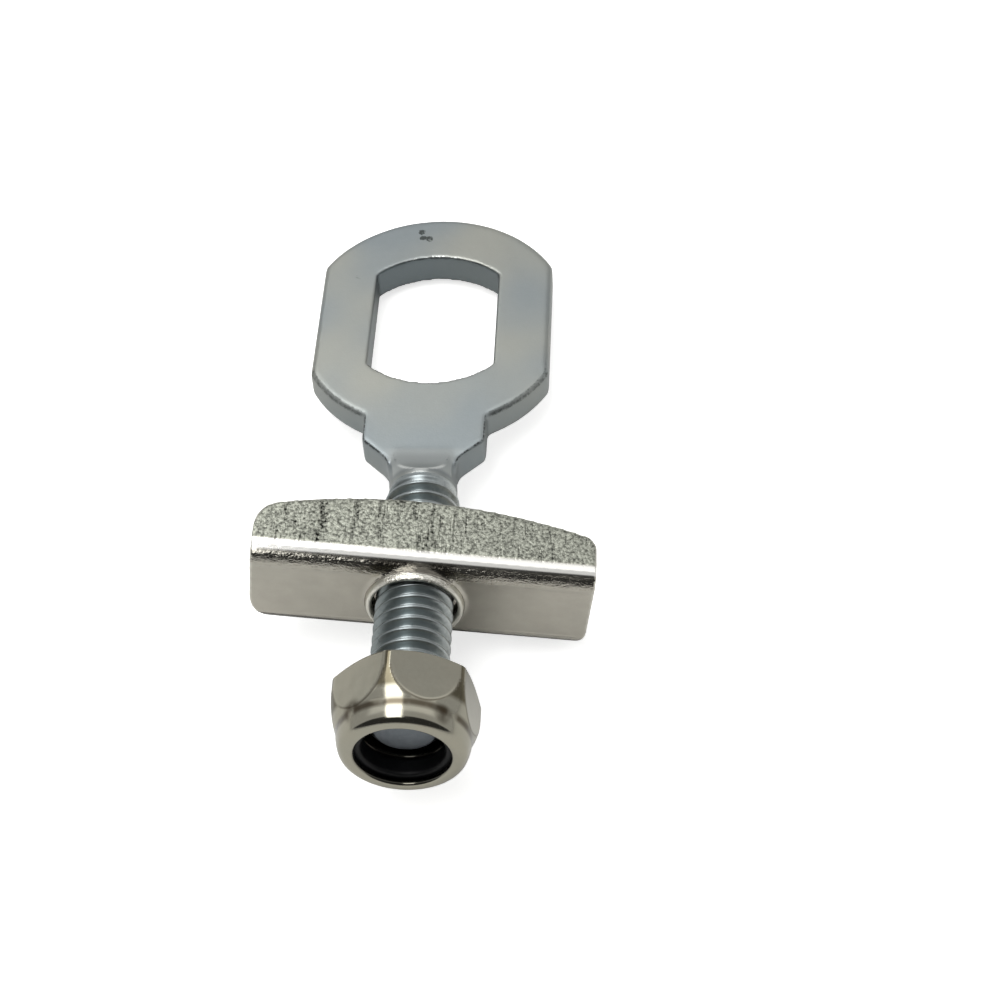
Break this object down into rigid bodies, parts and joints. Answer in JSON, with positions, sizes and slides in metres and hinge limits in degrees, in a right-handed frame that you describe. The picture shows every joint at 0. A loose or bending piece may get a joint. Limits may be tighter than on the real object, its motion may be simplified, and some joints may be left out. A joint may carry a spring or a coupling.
{
  "type": "chain tensioner",
  "caption": "Eye bolt with a double-flatted axle eye, a folded channel bracket sliding on its threaded shank and a self-locking nut, for setting chain slack at a wheel axle.",
  "frame": {"origin": "middle of the axle eye, halfway through the plate and on the shank's axis", "axes": "+Y from the nut towards the eye along the shank, +Z through the axle eye, +X to the right seen from the nut"},
  "size_m": [0.026, 0.0549, 0.0113],
  "materials": {
    "zinc_steel": "satin bright zinc plate over forged steel, slightly pitted",
    "nickel_sheet": "warm bright nickel plate, mirror-bright fold, granular top flange",
    "nickel_nut": "warm bright nickel plate",
    "black_nylon": "black moulded nylon"
  },
  "bodies": {
    "bolt": {"eye_bolt": "zinc_steel"},
    "bracket": {"end_bracket": "nickel_sheet"},
    "ring": {"locking_ring": "black_nylon"},
    "nut": {"nut_body": "nickel_nut"}
  },
  "joints": [
    {"name": "bracket_slide", "type": "slide", "parent": "bolt", "child": "bracket", "axis": [0, 1, 0], "range_m": [0, 0.0118]},
    {"name": "nut_travel", "type": "slide", "parent": "bolt", "child": "ring", "axis": [0, 1, 0], "range_m": [-0.003, 0.007]},
    {"name": "nut_turning", "type": "hinge", "parent": "ring", "child": "nut", "pos_m": [0, -0.0399, 0], "axis": [0, 1, 0], "range_deg": [-1080, 2520]}
  ],
  "couplings": [
    {"joint": "nut_turning", "follows": "nut_travel", "rad_per_m": 6283.2}
  ]
}
